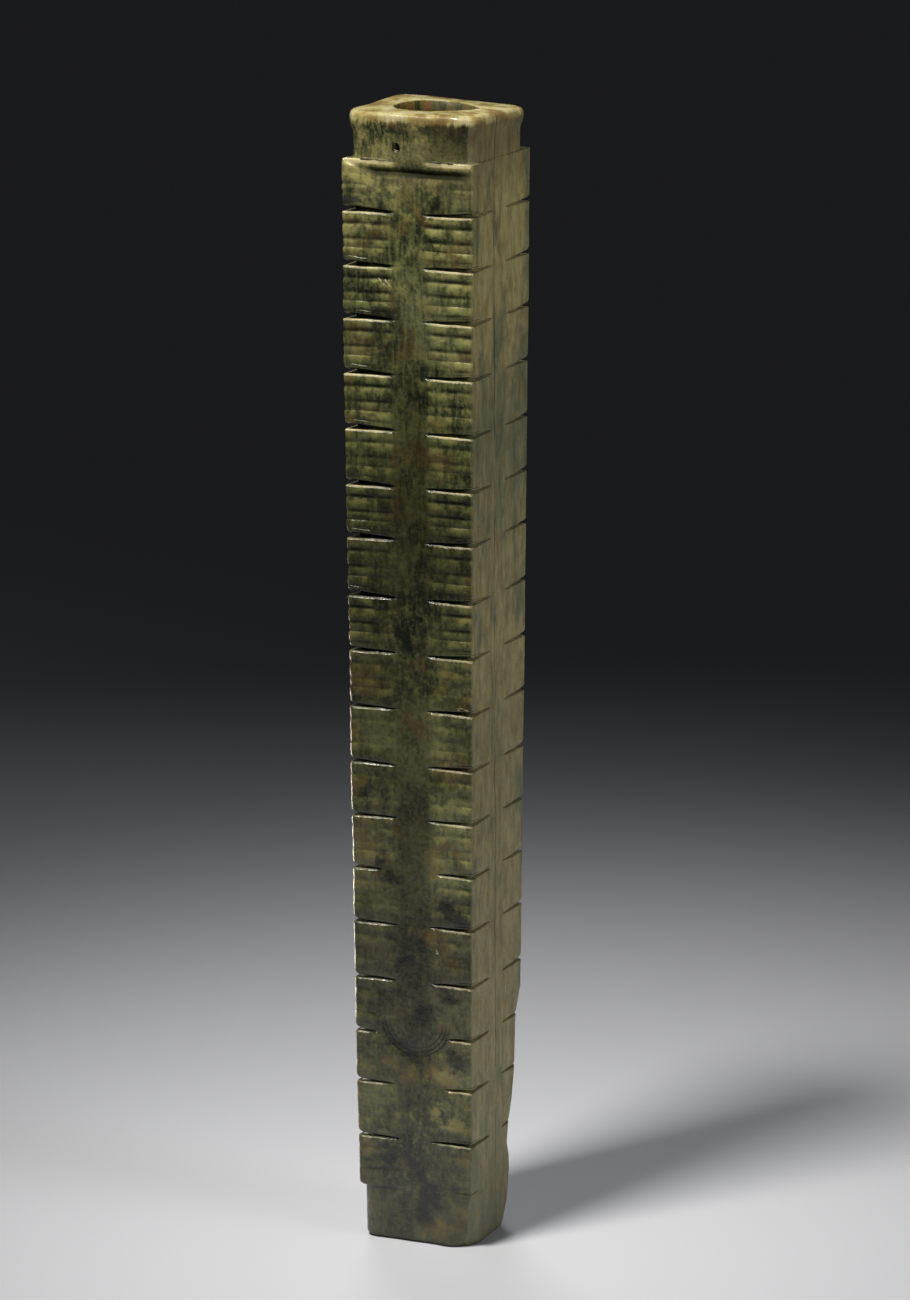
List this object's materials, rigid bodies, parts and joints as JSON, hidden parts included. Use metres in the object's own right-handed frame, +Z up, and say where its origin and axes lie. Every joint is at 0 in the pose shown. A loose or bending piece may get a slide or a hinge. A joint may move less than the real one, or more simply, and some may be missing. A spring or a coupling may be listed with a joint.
{
  "type": "tall jade cong",
  "caption": "Tall square jade column carved in tiers of corner blocks, with a round bore drilled through from both ends and a plain collar at each end.",
  "frame": {"origin": "middle of the underside, on the bore's axis", "axes": "+Z up along the bore to the wider end, -Y out of the face with the small drilled hole"},
  "size_m": [0.06, 0.06, 0.495],
  "materials": {
    "jade": "polished, worn and mottled"
  },
  "bodies": {
    "root": {"jade_cong": "jade"}
  },
  "joints": []
}
